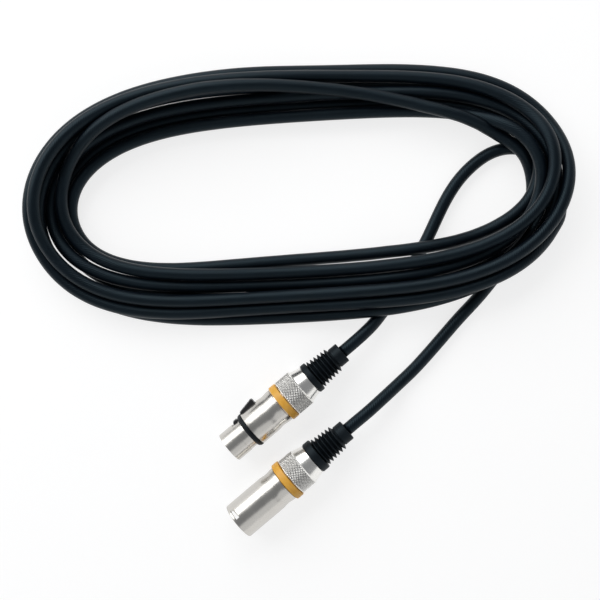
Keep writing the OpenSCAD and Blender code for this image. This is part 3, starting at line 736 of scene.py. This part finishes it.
def ribbed_boot(name, place, cone_end, flange_d, flange_length, boot_end, body, node_name):
    """Boot: lip and neck, flange, saw-tooth ribs that shrink towards the rear, and collar."""
    lip_r, neck_r, root_r = 6.32, 5.82, 5.05
    flange_x = cone_end + 0.25
    ribs_x = flange_x + flange_length
    ribs_end = ribs_x + RIB_COUNT * RIB_PITCH
    collar_x = ribs_end + 0.5
    corners = [(cone_end - 8, BOOT_BORE_R), (cone_end - 8, lip_r), (cone_end - 6.2, lip_r),
               (cone_end - 6.2, neck_r), (flange_x, neck_r), (flange_x, flange_d / 2, 0.4),
               (ribs_x, flange_d / 2, 0.7)]
    for k in range(RIB_COUNT):
        x, crest_r = ribs_x + RIB_PITCH * k, 7.7 - k * 0.16
        corners += [(x, crest_r - 1.85, 0.2), (x + 0.95, crest_r, 0.25), (x + 1.27, crest_r, 0.25)]
    corners += [(ribs_end, root_r), (collar_x - 0.2, root_r), (collar_x, BOOT_COLLAR_R, 0.3),
                (boot_end, BOOT_COLLAR_R, 0.6), (boot_end, BOOT_BORE_R, 0.25)]
    turning(name, place, corners, BOOT, body, node_name, 0.15, 160)


def coding_ring(name, place, front, d, body, node_name):
    """Coding ring: a band with softened edges."""
    r, bore_r, rear = d / 2, 8.98, front + 3.75
    corners = [(front, bore_r), (front, r, 0.45), (rear, r, 0.45), (rear, bore_r)]
    turning(name, place, corners, AMBER, body, node_name, 0.1, 160)


def rod_piece(name, place, profile, across, up, finish, body, node_name):
    """A turned rod about its own axis, closed by flat ends."""
    sides = 32
    a = np.linspace(0, 2 * np.pi, sides, endpoint=False)
    x = np.repeat(profile[:, :1], sides, axis=1)
    r = profile[:, 1:]
    points = place(x, across + r * np.sin(a), up + r * np.cos(a)).reshape(-1, 3)
    faces = grid_faces(len(profile), sides, wrap_rows=False).tolist()
    last = (len(profile) - 1) * sides
    faces += [list(range(sides))[::-1], [last + k for k in range(sides)]]
    add_piece(name, points, faces, finish, body, [node_name], sharp=50)


# ---------------------------------------------------------------- female connector

female_through = [
    (8.3, NOSE_REAR_R, NOSE_BORE_R), (FEMALE_GASKET_X, NOSE_REAR_R, NOSE_BORE_R),
    (14.75, NOSE_REAR_R, NOSE_BORE_R), (14.75, 9.1, SHELL_BORE_R), (14.87, 9.28, SHELL_BORE_R),
    (15.05, FEMALE_BODY_R, SHELL_BORE_R), (FEMALE_LATCH_REAR, FEMALE_BODY_R, SHELL_BORE_R),
    (24.75, 9.36, SHELL_BORE_R), (25.0, 9.345, SHELL_BORE_R),
]
pierced_turning(
    "female_shell_body", in_female,
    wall([(8.3, NOSE_BORE_R), (4, NOSE_BORE_R, 0.01), (0, NOSE_BORE_R, 0.15), (0, NOSE_R, 0.25),
          (4, NOSE_R, 0.01), (8.3, NOSE_R, 0.05), (8.3, NOSE_REAR_R)], 0.1)[1:-1],
    female_through,
    np.concatenate([
        waist(FEMALE_LATCH_REAR, FEMALE_BODY_R)[2:],
        wall([(32.4, FEMALE_BODY_R), (33.25, FEMALE_BODY_R, 0.3), (33.25, SEAT_R), (37.5, SEAT_R),
              (37.5, SHELL_BORE_R), (25.0, SHELL_BORE_R)], 0.15)[:-1]]),
    2.9, NICKEL, "main", "female_shell")

turning("female_gasket_ring", in_female,
        [(FEMALE_GASKET_X, 7.82), (FEMALE_GASKET_X, 8.6, 0.3), (13.2, 9.35, 0.4), (13.9, 9.5, 0.4),
         (14.73, 9.5, 0.35), (14.73, 7.82)],
        GASKET, "main", "female_gasket", 0.1, 144)

knurled_bushing("female_bushing_turned", in_female, FEMALE_COLLAR_X, FEMALE_CONE_X,
                FEMALE_CONE_END, 9.25, "female_collar", "female_bushing")
coding_ring("female_coding_band", in_female, FEMALE_RING_X, 20.0, "main", "female_coding_ring")
ribbed_boot("female_boot_moulding", in_female, FEMALE_CONE_END, 16.5, 3.0, FEMALE_BOOT_END,
            "female_boot", "female_boot")


def latch_piece():
    """Latch: side profile (x, up) carried across its width in nine steps; its upper side is
    crowned by R - sqrt(R^2 - y^2), and its edges are bevelled. The profile runs from the hook,
    past the gasket, up the ridged thumb tab to its rear."""
    columns, crown_r = 9, 10.5
    side = np.array([
        (8.75, 6.3), (8.75, 7.35), (9.25, 7.4), (9.35, 8.1), (9.9, 8.85), (10.4, 9.0),
        (11.75, 9.0), (11.75, 7.4), (15.25, 7.4), (15.25, 9.9), (15.6, 10.35), (17.5, 10.75),
        (18.7, 11.0), (18.9, 10.8), (19.2, 11.1), (20.3, 11.32), (20.5, 11.12), (20.8, 11.42),
        (21.9, 11.64), (22.1, 11.44), (22.4, 11.74), (23.5, 11.97), (24.1, 11.7), (24.25, 11.2),
        (24.25, 6.3),
    ])
    y = np.linspace(-2.6, 2.6, columns)[:, None]
    crown = crown_r - np.sqrt(crown_r**2 - y**2)
    up = side[None, :, 1] - np.where(side[None, :, 1] > 8, crown, 0)
    n = len(side)
    x = np.repeat(side[None, :, 0], columns, axis=0)
    points = in_female(x, np.repeat(y, n, axis=1), up)
    faces = grid_faces(columns, n, wrap_rows=False).tolist()
    faces += [list(range(n))[::-1], [(columns - 1) * n + k for k in range(n)]]
    made = add_piece("female_latch_moulding", points.reshape(-1, 3), faces, LATCH_BLACK,
                     "female_latch", ["female_latch"], sharp=35)
    bevel = made.modifiers.new("soft edges", "BEVEL")
    bevel.width = 0.15 * MM
    bevel.segments = 2
    bevel.limit_method = "ANGLE"
    bevel.angle_limit = math.radians(50)


latch_piece()

# ---------------------------------------------------------------- male connector

pierced_turning(
    "male_shell_body", in_male,
    wall([(1.25, MOUTH_R), (1.0, MOUTH_R, 0.01), (0, MOUTH_R, 0.2), (0, MALE_BODY_R, 0.6),
          (1.1, MALE_BODY_R, 0.01), (1.25, MALE_BODY_R)], 0.1)[1:-1],
    [(1.25, MALE_BODY_R, MOUTH_R), (3.5, MALE_BODY_R, MOUTH_R)],
    np.concatenate([
        [[4.0, MALE_BODY_R]], waist(21.25, MALE_BODY_R),
        wall([(29.4, MALE_BODY_R), (30.0, MALE_BODY_R, 0.3), (30.0, SEAT_R), (34.0, SEAT_R),
              (34.0, SHELL_BORE_R), (13.0, SHELL_BORE_R), (13.0, MOUTH_R), (3.5, MOUTH_R)],
             0.15)[:-1]]),
    2.75, NICKEL, "main", "male_shell")
knurled_bushing("male_bushing_turned", in_male, MALE_COLLAR_X, MALE_CONE_X, MALE_CONE_END, 9.6,
                "male_collar", "male_bushing")
coding_ring("male_coding_band", in_male, MALE_RING_X, 21.0, "main", "male_coding_ring")
ribbed_boot("male_boot_moulding", in_male, MALE_CONE_END, 17.0, 4.0, MALE_BOOT_END, "male_boot",
            "male_boot")

# Pin tip: a quarter circle of 0.7 mm, then the plain pin, its shank and its solder cup
tip = np.linspace(0.06, np.pi / 2, 7)
pin_profile = np.concatenate([
    np.column_stack([2.2 + 0.7 * (1 - np.cos(tip)), 0.5 + 0.7 * np.sin(tip)]),
    [[4, 1.2], [13, 1.2], [13, 1.4], [25.75, 1.4], [25.75, 1.55], [29.25, 1.55]]])
for number, across, up in ((1, CONTACT_CIRCLE_R, 0), (2, -CONTACT_CIRCLE_R, 0),
                           (3, 0, -CONTACT_CIRCLE_R)):
    rod_piece("male_pin_turned_%d" % number, in_male, pin_profile, across, up, GOLD, "main",
              "male_pin_%d" % number)

# ---------------------------------------------------------------- floor and light

world = bpy.data.worlds.new("studio")
bpy.context.scene.world = world
world.use_nodes = True
background = world.node_tree.nodes["Background"]
background.inputs["Color"].default_value = (0.8, 0.82, 0.85, 1)
background.inputs["Strength"].default_value = 0.3


def backdrop_paint(name, matt_tone, glow_strength):
    """Pale matt paint that shows paler to the camera and in metal, and still takes a shadow."""
    paint = bpy.data.materials.new(name)
    paint.use_nodes = True
    paint.node_tree.nodes.clear()
    out = node(paint, "ShaderNodeOutputMaterial")
    matt = node(paint, "ShaderNodeBsdfDiffuse", Color=(0.86, 0.86, 0.86, 1))
    shown_matt = node(paint, "ShaderNodeBsdfDiffuse", Color=(matt_tone, matt_tone, matt_tone, 1))
    glow = node(paint, "ShaderNodeEmission", Color=(1, 1, 1, 1), Strength=glow_strength)
    shown = node(paint, "ShaderNodeAddShader")
    mixed = node(paint, "ShaderNodeMixShader")
    ray = node(paint, "ShaderNodeLightPath")
    seen = node(paint, "ShaderNodeMath", operation="MAXIMUM")
    seen_or_through = node(paint, "ShaderNodeMath", operation="MAXIMUM")
    link(paint, ray, "Is Camera Ray", seen, 0)
    link(paint, ray, "Is Glossy Ray", seen, 1)
    link(paint, seen, 0, seen_or_through, 0)
    link(paint, ray, "Is Transmission Ray", seen_or_through, 1)
    link(paint, shown_matt, 0, shown, 0)
    link(paint, glow, 0, shown, 1)
    link(paint, seen_or_through, 0, mixed, 0)
    link(paint, matt, 0, mixed, 1)
    link(paint, shown, 0, mixed, 2)
    link(paint, mixed, 0, out, 0)
    return paint


def backdrop(name, profile, paint):
    """A surface turned about the vertical through the origin; profile holds (r, z) in metres."""
    profile = np.array(profile, float)
    a = np.linspace(0, 2 * np.pi, 96, endpoint=False)
    r, z = profile[:, :1], np.repeat(profile[:, 1:], len(a), axis=1)
    points = np.stack([r * np.cos(a), r * np.sin(a), z], axis=-1).reshape(-1, 3)
    faces = grid_faces(len(profile), len(a), wrap_rows=False).tolist()
    mesh = bpy.data.meshes.new(name)
    mesh.from_pydata(points.tolist(), [], faces)
    mesh.materials.append(paint)
    made = bpy.data.objects.new(name, mesh)
    bpy.context.scene.collection.objects.link(made)


backdrop("studio_floor", [(0.0001, 0), (3, 0)], backdrop_paint("floor", 0.34, 0.765))
backdrop("studio_wall", [(3, 0), (3.4, 0.15), (3.6, 0.5), (3.6, 1.7)],
         backdrop_paint("wall", 0.1, 0.95))


def soft_light(name, place, aim, size, power):
    """Rectangular soft light at a place, aimed at a point; its second side is level."""
    data = bpy.data.lights.new(name, "AREA")
    data.shape = "RECTANGLE"
    data.size, data.size_y = size
    data.energy = power
    made = bpy.data.objects.new(name, data)
    made.location = place
    direction = np.array(aim, float) - np.array(place, float)
    yaw = math.atan2(direction[1], direction[0])
    tilt = math.atan2(math.hypot(direction[0], direction[1]), -direction[2])
    made.rotation_euler = (0, -tilt, yaw)
    bpy.context.scene.collection.objects.link(made)


soft_light("key_light", (0.15, 1.0, 0.72), (0.04, 0.05, 0), (0.85, 1.8), 13)
soft_light("fill_light", (-0.35, -0.9, 1.0), (0.04, 0.0, 0), (1.0, 1.2), 2)

bpy.context.scene.view_settings.view_transform = "Standard"
